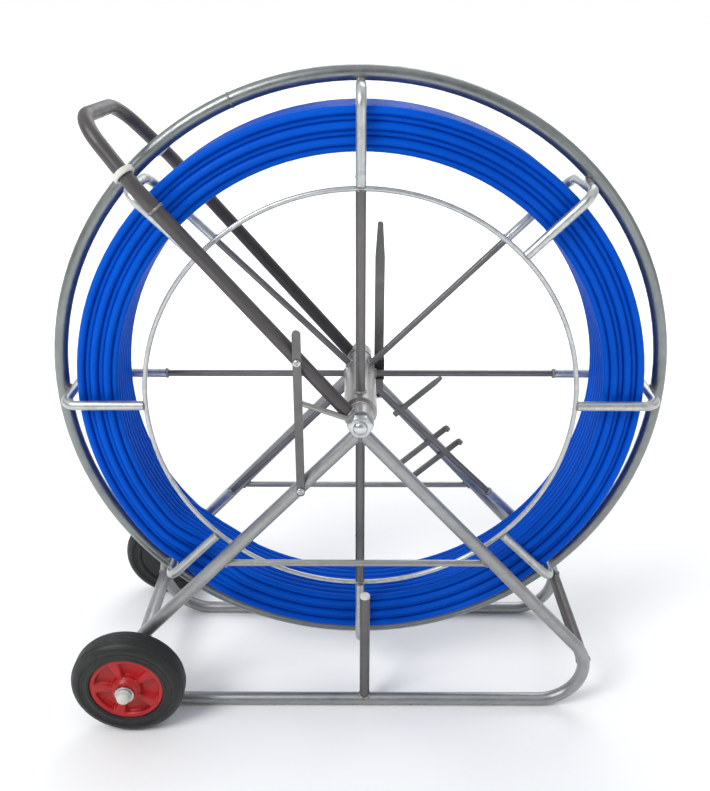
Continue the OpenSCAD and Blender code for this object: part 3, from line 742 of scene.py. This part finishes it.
def wound_rod():
    """Every turn of the rod, from the ferrule on its outer end to the inner end."""
    places = turn_places()
    first_angle = CROSSING_ANGLE + CROSSING_SPAN / 2
    lay = math.tau - CROSSING_SPAN
    last_turn = (INNER_END_ANGLE - first_angle) % math.tau
    back = Vector((FERRULE_BACK.x - HUB.x, 0, FERRULE_BACK.z - HUB.z))
    line_r = (back - ROD_AXIS * back.dot(ROD_AXIS)).length
    tail_span = math.acos(line_r / back.length)
    tail_start = (math.atan2(back.z, back.x) - first_angle) % math.tau
    path, normals = [], []
    for number, now in enumerate(places):
        start = tail_start if number == 0 else 0.0
        for step in range(TURN_STEPS):
            angle = mix(start, math.tau, step / TURN_STEPS)
            radius, y = crossing_point(now, now, 0)
            if number == 0 and angle < start + tail_span:
                to_winding = start + tail_span - angle
                radius = line_r / math.cos(to_winding)
                y = mix(y, FERRULE_BACK.y - CAGE_Y, smooth(1.5 * to_winding / tail_span - 0.5))
            elif angle > lay and number + 1 < len(places):
                radius, y = crossing_point(now, places[number + 1], smooth((angle - lay) / CROSSING_SPAN))
            elif angle > last_turn:
                break
            path.append(about_hub(first_angle + angle, radius, CAGE_Y + y))
            normals.append(outward(first_angle + angle))
    made = Build().sweep(path, ROD_R * 0.992, normals, sides=10)
    made.piece("rod_turns", ROD_BLUE, "reel", slot="rod_blue", replaces=["rod_winding"])


# ---- Turned pieces ----

# Thickness of the washers on the reel's axle and on the wheels' axle
HUB_WASHER, WHEEL_WASHER = 0.004, 0.003


def threaded(start, end, crest, root, pitch):
    """Profile of a thread's ridges between two places, going up."""
    count = max(2, round((end - start) / pitch))
    step = (end - start) / count
    points = []
    for i in range(count):
        h = start + i * step
        points += [(root, h), (crest, h + 0.45 * step), (crest, h + 0.62 * step)]
    return points + [(root, end)]


def rod_ferrule():
    """Crimped ferrule: four pressed waists, a grooved shoulder and the stud's thread."""
    r = ROD_R + 0.0015
    waist = [(r * 0.5, 0.0), (r - 0.001, 0.0), (r, 0.001)]
    for i in range(4):
        h = 0.0045 + i * 0.0068
        waist += [(r, h), (r - 0.0008, h + 0.0010), (r - 0.0008, h + 0.0030), (r, h + 0.0040)]
    shoulder = FERRULE_LEN - 0.008
    waist += [(r, shoulder), (r - 0.0012, shoulder + 0.0006), (r - 0.0012, shoulder + 0.0016)]
    waist += [(r, shoulder + 0.0022), (r, FERRULE_LEN - 0.0015), (r - 0.0015, FERRULE_LEN)]
    end = FERRULE_LEN + STUD_LEN
    thread = threaded(FERRULE_LEN + 0.001, end - 0.0015, STUD_R, STUD_R * 0.87, 0.0015)
    profile = waist + [(STUD_R * 0.87, FERRULE_LEN)] + thread + [(STUD_R * 0.7, end), (POLE, end)]
    made = Build().lathe([(POLE, 0.0)] + profile, FERRULE_BACK, ROD_AXIS, 48, closed=False)
    made.piece("ferrule", BRASS, "reel", slot="ferrule_brass", replaces=["rod_ferrule"])


def fixed_axle():
    """Bar with a chamfer and a rolled thread at each end."""
    thread_start = SIDE_HALF + SOCKET_HALF
    tip = AXLE_HALF
    half = threaded(thread_start, tip - 0.002, AXLE_R, AXLE_R * 0.9, 0.0025) + [(AXLE_R * 0.82, tip)]
    profile = [(r, -h) for r, h in reversed(half)] + half
    made = Build().lathe([(0.0005, -tip)] + profile + [(0.0005, tip)], HUB, Y, 64, closed=False)
    made.piece("axle_bar", ZINC, "stand", slot="zinc_steel", replaces=["main_axle"])


def hexagon(across, thickness):
    """Radius of a nut with chamfered corners, as a function of angle and height."""
    half = across / 2

    def radius(a, h):
        off = (a + math.pi / 6) % (math.pi / 3) - math.pi / 6
        end = min(h, thickness - h)
        return min(half / math.cos(off), half * 0.97 + 1.7 * max(end, 0))

    return radius


def nut(build, place, axis, across, thickness):
    steps = [0, 0.0004, 0.0008, 0.0014, 0.0022]
    heights = steps + [thickness / 2] + [thickness - h for h in reversed(steps)]
    return build.lathe_by(hexagon(across, thickness), heights, place, axis, 144)


def nuts_and_washers():
    nuts, washers = Build(), Build()
    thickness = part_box("axle_nuts")[1].y - REAR_PLANE - SOCKET_HALF
    across = extent("axle_nuts").z
    washer_r = extent("hub_washers").z / 2
    for way in (-1, 1):
        face = HUB + Y * way * (SIDE_HALF + SOCKET_HALF)
        nut(nuts, face, Y * way, across, thickness)
        inner = HUB + Y * way * (SIDE_HALF - SOCKET_HALF - HUB_WASHER)
        washers.lathe(annulus(AXLE_R, washer_r, 0, HUB_WASHER, 0.0007), inner, Y * way, 72)
    nuts.piece("hub_nuts", ZINC, "stand", slot="zinc_steel", replaces=["axle_nuts"])
    washers.piece("spacer_washers", ZINC, "stand", slot="zinc_steel", replaces=["hub_washers"])


def pivot_nut():
    place, size = centre("brake_pivot_nut"), extent("brake_pivot_nut")
    made = nut(Build(), place - Y * size.y / 2, Y, size.z, size.y)
    made.piece("pivot_nut", ZINC, "stand", slot="zinc_steel", replaces=["brake_pivot_nut"])


# ---- Wheels ----

WHEEL_Y = centre("rear_tyre").y
TYRE_HALF = extent("rear_tyre").y / 2
RED_R = extent("rear_wheel_rim").z / 2
RED_HUB_HALF = extent("rear_wheel_rim").y / 2
RED_FACE = TYRE_HALF - 0.004
BUSH_R = extent("rear_wheel_bush").z / 2
SHOULDER = 0.015


def tyre_profile():
    """Tyre's section as (radius, place across): round crown with five grooves, ringed sidewalls."""
    grooves = (-0.0125, -0.0065, 0.0, 0.0065, 0.0125)
    points = []
    flat = TYRE_HALF - SHOULDER
    count = 88
    for i in range(count + 1):
        y = mix(-TYRE_HALF, TYRE_HALF, i / count)
        over = max(0.0, abs(y) - flat)
        r = WHEEL_R - SHOULDER + math.sqrt(max(0.0, SHOULDER * SHOULDER - over * over))
        depth = max(math.exp(-(((y - g) / 0.0009) ** 4)) for g in grooves)
        points.append((r - 0.0016 * depth, y))
    side = []
    low, high = RED_R, WHEEL_R - SHOULDER
    for i in range(1, 24):
        r = mix(high, low, i / 24)
        ring = 0.0009 * math.exp(-(((r - high + 0.0035) / 0.0010) ** 4))
        ring += 0.0012 * math.exp(-(((r - low - 0.0035) / 0.0014) ** 4))
        side.append((r, TYRE_HALF - 0.0012 + ring))
    side.append((low, TYRE_HALF - 0.0020))
    return points + side + [(r, -y) for r, y in reversed(side)]


# The red rim: radius of its hub, width of the lips round its five pockets, half a pocket's angle
RED_HUB_R, RED_LIP = 0.019, 0.004
POCKET_TURN, POCKET_HALF = math.tau / 5, math.radians(26)


def red_face(r, a):
    """How far the red rim's face stands from the wheel's middle plane at a radius and an angle."""
    if r < RED_HUB_R + 0.0005:
        return RED_HUB_HALF - 0.0012 * smooth((r - RED_HUB_R + 0.0015) / 0.0015)
    off = abs((a + POCKET_TURN / 2) % POCKET_TURN - POCKET_TURN / 2) * r
    edge = min(POCKET_HALF * r - off, r - RED_HUB_R - RED_LIP, RED_R - 2 * RED_LIP - r)
    pocket = smooth(edge / 0.0026 + 0.35)
    face = RED_FACE - 0.0075 * pocket
    boss = smooth((RED_HUB_R + 0.0035 - r) / 0.0030)
    rolled = 0.0008 * math.exp(-(((r - RED_R + 0.0025) / 0.0012) ** 2))
    edge_round = 0.0012 * smooth((r - RED_R + 0.0012) / 0.0012)
    return mix(face, RED_FACE + 0.002, boss) + rolled - edge_round


def red_rim(origin):
    """Moulded rim; its rings are closer where the hub and the rolled edge step."""
    hub_steps = (-0.0040, -0.0022, -0.0010, -0.0003, 0.0, 0.0004, 0.0008, 0.0014, 0.0022)
    radii = [BUSH_R] + [RED_HUB_R + step for step in hub_steps]
    radii += [radii[-1] + 0.00092 * k for k in range(1, 37)]
    radii += [RED_R - inset for inset in (0.0030, 0.0018, 0.0008, 0)]
    radii = sorted(r for r in radii if r <= RED_R)
    angles = 180
    rows = []
    for j in range(angles):
        a = math.tau * j / angles
        spoke = X * math.cos(a) + Z * math.sin(a)
        front = [origin + spoke * r + Y * red_face(r, a) for r in radii]
        back = [origin + spoke * r - Y * red_face(r, a) for r in reversed(radii)]
        rows.append(front + back)
    return Build().grid(rows, wrap_rows=True)


def wheel(name, side):
    """Tyre, rim and a black disc over the rim's inner face, painted shade that makes that face look dark;
    side is -1 in front and 1 behind.
    """
    hub = WHEEL_AXLE + Y * side * WHEEL_Y
    body = name + "_wheel"
    tyre = Build().lathe(tyre_profile(), hub, Y, 144)
    tyre.piece(name + "_tyre_moulded", TYRE, body, slot="tyre_rubber", replaces=[name + "_tyre"])
    rim = red_rim(hub)
    rim.piece(name + "_rim_moulded", RIM_RED, body, slot="rim_red", replaces=[name + "_wheel_rim"])
    # Painted shade: a thin black disc laid over the red rim's inner face, standing in for the shadow on
    # that side of the wheel
    section = annulus(RED_HUB_R + RED_LIP, RED_R - 0.0004, RED_FACE - 0.0010, RED_FACE + 0.0012, 0.0005)
    disc = Build().lathe(section, hub, Y * -side, 120)
    disc.piece(name + "_painted_shade_disc", TYRE, body, slot="tyre_rubber")


def cap_profile(radius, length):
    """Push-on cap: a short flange under a dome."""
    points = [(POLE, 0), (radius - 0.0006, 0), (radius, 0.0006), (radius, 0.0020)]
    points.append((radius - 0.0008, 0.0026))
    for k in range(11):
        t = math.pi / 2 * k / 10
        points.append(((radius - 0.0008) * math.cos(t) + POLE, mix(0.0060, length, math.sin(t))))
    return points


def wheels():
    cap_r, cap_out = extent("axle_caps").z / 2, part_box("axle_caps")[1].y
    cap_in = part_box("wheel_washers")[1].y
    tube_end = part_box("axle_cross_tube")[1].y
    ring = annulus(WHEEL_AXLE_R, extent("wheel_washers").z / 2, 0, WHEEL_WASHER, 0.0006)
    caps, washers = Build(), Build()
    for side, name in ((-1, "front"), (1, "rear")):
        wheel(name, side)
        outwards = Y * side
        cap = cap_profile(cap_r, cap_out - cap_in)
        caps.lathe(cap, WHEEL_AXLE + outwards * cap_in, outwards, 64, closed=False)
        for y in (tube_end, cap_in - WHEEL_WASHER):
            washers.lathe(ring, WHEEL_AXLE + outwards * y, outwards, 64)
    caps.piece("wheel_caps", PALE, "stand", slot="pale_plastic", replaces=["axle_caps"])
    washers.piece("axle_washers", ZINC, "stand", slot="zinc_steel", replaces=["wheel_washers"])


# ---- Handle ----

LOOP_TOP = reach("handle_loop", ARM_UP)[1] - TUBE_R - ARM_UP.z * ARM_FOOT_Z
LOOP_CORNER = 0.440
LOOP_BEND_R = 0.055
GRIP_R = extent("handle_grip").y / 2 - extent("handle_loop").y / 2 + TUBE_R
GRIP_START = 0.021
COLLAR_LEN, COLLAR_R = 0.008, 0.015
LOOP_SIDE = Vector((math.cos(LOOP_SLOPE), -math.sin(LOOP_SLOPE)))


def in_handle(u, across):
    """A point of the handle's plane, u up the arms from under the hub and across along the axle."""
    return Vector((HUB.x, HUB.y + across, ARM_FOOT_Z)) + ARM_UP * u


def grip_path():
    """Half of the grip's middle line, from its end to the middle of the loop's top, as (u, across)."""
    corner_half = SIDE_HALF - (LOOP_TOP - LOOP_CORNER) * math.tan(LOOP_SLOPE)
    turn = math.pi / 2 - LOOP_SLOPE
    cut = LOOP_BEND_R * math.tan(turn / 2)
    side_len = (LOOP_TOP - LOOP_CORNER) / math.cos(LOOP_SLOPE) - cut
    points = []
    for i in range(15):
        along = mix(GRIP_START, side_len, i / 14)
        points.append((LOOP_CORNER + along * LOOP_SIDE.x, SIDE_HALF + along * LOOP_SIDE.y))
    top_half = corner_half - cut
    for i in range(1, 18):
        a = turn * (1 - i / 17)
        u = LOOP_TOP - LOOP_BEND_R + LOOP_BEND_R * math.cos(a)
        points.append((u, top_half + LOOP_BEND_R * math.sin(a)))
    return points + [(LOOP_TOP, top_half * (1 - i / 8)) for i in range(1, 9)]


def handle_pieces():
    half = grip_path()
    line = half + [(u, -across) for u, across in reversed(half[:-1])]
    fine = []
    for (u0, v0), (u1, v1) in zip(line, line[1:]):
        fine += [(mix(u0, u1, k / 3), mix(v0, v1, k / 3)) for k in range(3)]
    path = [in_handle(u, v) for u, v in fine + [line[-1]]]
    count = len(path)
    radii = []
    for i in range(count):
        end = min(i, count - 1 - i)
        swell = 0.0009 * math.exp(-(((end - 3.5) / 1.7) ** 2))
        radii.append(GRIP_R - 0.0009 + swell - (0.0012 if end == 0 else 0.0))
    normal = ARM_UP.cross(Y)
    grip = Build().sweep(path, radii, [normal] * count, sides=36)
    grip.piece("grip_sleeve", GRIP, "stand", slot="grip_rubber", replaces=["handle_grip"])
    for side, name in ((-1, "front"), (1, "rear")):
        u = LOOP_CORNER + (GRIP_START - COLLAR_LEN) * LOOP_SIDE.x
        v = side * (SIDE_HALF + (GRIP_START - COLLAR_LEN) * LOOP_SIDE.y)
        axis = in_handle(u + LOOP_SIDE.x, v + side * LOOP_SIDE.y) - in_handle(u, v)
        ring = annulus(TUBE_R, COLLAR_R, 0, COLLAR_LEN, 0.0022)
        Build().lathe(ring, in_handle(u, v), axis, 64).piece(
            name + "_collar", PALE, "stand", slot="pale_plastic", replaces=[name + "_grip_collar"])


# ---- Flat pieces ----

# The bars on the rear right leg: thickness, the hook's outer radius, length of the peg's taper
BAR_THICK, HOOK_R, PEG_TIP = 0.006, 0.009, 0.020


def plate(outline, depth_axis, near, far):
    """A flat piece: its outline as points, thickened along an axis from near to far."""
    count = len(outline)
    verts = [p + depth_axis * near for p in outline] + [p + depth_axis * far for p in outline]
    faces = [tuple(range(count)), tuple(range(2 * count - 1, count - 1, -1))]
    faces += [(i, (i + 1) % count, count + (i + 1) % count, count + i) for i in range(count)]
    return Build().add(verts, faces)


def arc_points(middle, radius, start, turn, steps):
    angles = [start + turn * i / steps for i in range(steps + 1)]
    return [middle + X * radius * math.cos(a) + Z * radius * math.sin(a) for a in angles]


def lever():
    """Flat lever: a disc round its pivot and a bar that narrows to a round tip."""
    lo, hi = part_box("brake_lever")
    joints = {joint["name"]: joint for joint in frame["record"]["behaviour"]["joints"]}
    pivot = Vector(joints["brake_swing"]["pos_m"])
    disc = (hi.x - lo.x) / 2
    bar = disc - 0.0005
    taper, tip = 0.055, 0.0045
    start = math.acos(bar / disc)
    outline = arc_points(Vector((pivot.x, 0, pivot.z)), disc, start, -math.pi - 2 * start, 24)
    outline += [Vector((pivot.x - bar, 0, hi.z - taper)), Vector((pivot.x - tip, 0, hi.z - 2 * tip))]
    outline += arc_points(Vector((pivot.x, 0, hi.z - tip)), tip, math.pi, -math.pi, 12)[1:-1]
    outline += [Vector((pivot.x + tip, 0, hi.z - 2 * tip)), Vector((pivot.x + bar, 0, hi.z - taper))]
    plate(outline, Y, lo.y, hi.y).piece(
        "lever_bar", LEVER, "brake", slot="lever_steel", replaces=["brake_lever"], bevel=0.0009, flat=True)


def friction_pad():
    """Block with chamfered corners and two grooves in its working face."""
    lo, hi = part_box("brake_pad")
    groove, chamfer = 0.0016, 0.001
    face = [(hi.x, lo.z), (lo.x + chamfer, lo.z), (lo.x, lo.z + chamfer)]
    for k in (1, 2):
        z = mix(lo.z, hi.z, k / 3)
        face += [(lo.x, z - 0.0012), (lo.x + groove, z - 0.0008)]
        face += [(lo.x + groove, z + 0.0008), (lo.x, z + 0.0012)]
    face += [(lo.x, hi.z - chamfer), (lo.x + chamfer, hi.z), (hi.x, hi.z)]
    outline = [Vector((x, 0, z)) for x, z in face]
    plate(outline, Y, lo.y, hi.y).piece(
        "friction_block", PAD, "brake", slot="pad_rubber", replaces=["brake_pad"], bevel=0.0006, flat=True)


def stay():
    """Flat bar on the front frame with rounded ends."""
    lo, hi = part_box("front_stay")
    r = (hi.x - lo.x) / 2
    x = (lo.x + hi.x) / 2
    outline = arc_points(Vector((x, 0, hi.z - r)), r, 0, math.pi, 16)
    outline += arc_points(Vector((x, 0, lo.z + r)), r, math.pi, math.pi, 16)
    plate(outline, Y, lo.y, hi.y).piece(
        "stay_bar", LEVER, "stand", slot="stand_steel", replaces=["front_stay"], bevel=0.0007, flat=True)


def cross_recess(r, a, depth):
    """Depth of a cross recess in a screw's head."""
    x, z = abs(r * math.cos(a)), abs(r * math.sin(a))
    return depth * smooth((0.00075 - min(x, z)) / 0.0004) * smooth((0.0031 - max(x, z)) / 0.0008)


def screw_heads():
    """Domed heads with a short shank in the stay."""
    made = Build()
    lo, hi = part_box("stay_screws")
    r_head = (hi.x - lo.x) / 2
    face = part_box("front_stay")[0].y
    rise = face - lo.y
    around, rim = 64, 0.0012
    for z in (lo.z + r_head, hi.z - r_head):
        middle = Vector(((lo.x + hi.x) / 2, face, z))
        rows = []
        for j in range(around):
            a = math.tau * j / around
            spoke = X * math.cos(a) + Z * math.sin(a)
            row = [middle + spoke * r_head * 0.55 + Y * 0.004]
            row += [middle + spoke * r_head, middle + spoke * r_head - Y * rim]
            for k in range(1, 20):
                t = math.pi / 2 * k / 20
                r = r_head * math.cos(t)
                h = mix(rim, rise, math.sin(t))
                row.append(middle + spoke * r - Y * (h - cross_recess(r, a, 0.0018)))
            rows.append(row)
        base = len(made.verts)
        width = len(rows[0])
        made.grid(rows, wrap_rows=True, wrap_columns=False)
        for end in (width - 1, 0):
            made.faces.append(tuple(base + j * width + end for j in range(around)))
    made.piece("stay_screw_heads", ZINC, "stand", slot="zinc_steel", replaces=["stay_screws"])


def leg_bar(node, hooked):
    """Flat bar across the rear right leg, drawn out to a tip that may be bent into a hook."""
    across = RIGHT_LEG.cross(Y)
    low, high = reach(node, across)
    near, far = reach(node, Y)
    ends = reach(node, RIGHT_LEG)
    width = ends[1] - ends[0]
    middle = RIGHT_LEG * (sum(ends) / 2)
    flat_y = far - BAR_THICK / 2
    tip_len = HOOK_R if hooked else PEG_TIP
    # Each point of the middle line: height across the leg, depth, share of the bar's full size
    spine = [(mix(low, high - tip_len, k / 8), flat_y, 1.0) for k in range(9)]
    if hooked:
        bend_r = HOOK_R - BAR_THICK / 2
        for k in range(1, 10):
            a = math.pi / 2 * k / 9
            y = flat_y - bend_r * (1 - math.cos(a))
            spine.append((high - HOOK_R + bend_r * math.sin(a), y, 1 - 0.12 * k / 9))
        start_y, end_y = spine[-1][1], near + 0.0006
        for k in range(1, 6):
            spine.append((high - BAR_THICK / 2 - 0.0004 * k, mix(start_y, end_y, k / 5), 0.88 - 0.11 * k))
    else:
        spine += [(mix(high - tip_len, high, k / 6), flat_y, 1 - 0.45 * (k / 6) ** 2) for k in range(1, 7)]
    rows = []
    for i, (v, y, size) in enumerate(spine):
        after, before = spine[min(i + 1, len(spine) - 1)], spine[max(i - 1, 0)]
        along = (across * (after[0] - before[0]) + Y * (after[1] - before[1])).normalized()
        out = along.cross(RIGHT_LEG).normalized()
        p = middle + across * v + Y * y
        w, t = RIGHT_LEG * width / 2 * size, out * BAR_THICK / 2 * (0.45 + 0.55 * size)
        rows.append([p + w + t, p - w + t, p - w - t, p + w - t])
    made = Build().grid(rows)
    last = 4 * (len(rows) - 1)
    made.faces += [(0, 1, 2, 3), (last, last + 1, last + 2, last + 3)]
    made.piece(node + "_bar", LEVER, "stand", slot="stand_steel", replaces=[node], bevel=0.0008)


def leg_bars():
    for node, hooked in (("cleat_inner", True), ("cleat_outer", True), ("leg_peg", False)):
        leg_bar(node, hooked)


def post_plug():
    """Plastic plug with a domed head, pushed into the post."""
    lo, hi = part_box("post_cap")
    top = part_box("front_post")[1].z
    head, foot = hi.z - top, lo.z - top
    r = (hi.x - lo.x) / 2
    profile = [(POLE, foot), (r - 0.0025, foot), (r - 0.002, foot + 0.001), (r - 0.002, -0.0004)]
    profile += [(r - 0.0004, 0), (r, 0.0005), (r, head * 0.45)]
    for k in range(1, 8):
        t = math.pi / 2 * k / 8
        profile.append((POLE + (r - 0.0004) * math.cos(t) ** 0.6, mix(head * 0.45, head, math.sin(t))))
    profile.append((POLE, head))
    middle = centre("post_cap")
    Build().lathe(profile, Vector((middle.x, middle.y, top)), Z, 48, closed=False).piece(
        "post_plug", PALE, "stand", slot="pale_plastic", replaces=["post_cap"])


make_camera()
make_lights()
make_world()
cage_welds()
stand_welds()
wound_rod()
rod_ferrule()
fixed_axle()
nuts_and_washers()
pivot_nut()
wheels()
handle_pieces()
lever()
friction_pad()
stay()
screw_heads()
leg_bars()
post_plug()


# ---- Materials of the CAD nodes that stay ----


def finish_nodes():
    finishes = {
        STAND: ["left_leg", "right_leg", "base_rail", "crossbar", "axle_socket", "axle_cross_tube"],
        DARK_STAND: ["front_handle_arm", "handle_loop", "base_cross_tube"],
        # The rear arm takes the darker copy of the handle steel: painted shade
        SHADED_STAND: ["rear_handle_arm"],
        POST_STEEL: ["front_post", "front_spoke"],
        CAGE: ["cage_hoop", "inner_ring"],
        RIM: ["rim_ring"],
        SPOKE: ["rear_spokes"],
        HUB_STEEL: ["hub_barrel", "front_strut"],
        ZINC: ["_washers", "axle_nuts", "main_axle", "wheel_axle", "stay_screws", "brake_pivot"],
        LEVER: ["brake_lever", "cleat", "leg_peg", "front_stay"],
        ROD_BLUE: ["rod_winding"],
        BRASS: ["rod_ferrule"],
        GRIP: ["handle_grip"],
        TYRE: ["tyre"],
        RIM_RED: ["wheel_rim"],
        PALE: ["axle_caps", "post_cap", "grip_collar"],
        IVORY: ["hub_bush", "wheel_bush"],
        PAD: ["brake_pad"],
    }
    for node, thing in NODES.items():
        material = next(m for m, words in finishes.items() if any(word in node for word in words))
        for slot in thing.material_slots:
            slot.material = material


finish_nodes()


# ---- Floor ----


FLOOR_HALF = 150


def make_floor():
    corners = [(x * FLOOR_HALF, y * FLOOR_HALF, 0) for x, y in ((-1, -1), (1, -1), (1, 1), (-1, 1))]
    mesh = bpy.data.meshes.new("floor")
    mesh.from_pydata(corners, [], [(0, 1, 2, 3)])
    mesh.materials.append(pale_floor())
    floor = bpy.data.objects.new("floor", mesh)
    bpy.context.scene.collection.objects.link(floor)


make_floor()
bpy.context.scene.view_settings.view_transform = "Standard"
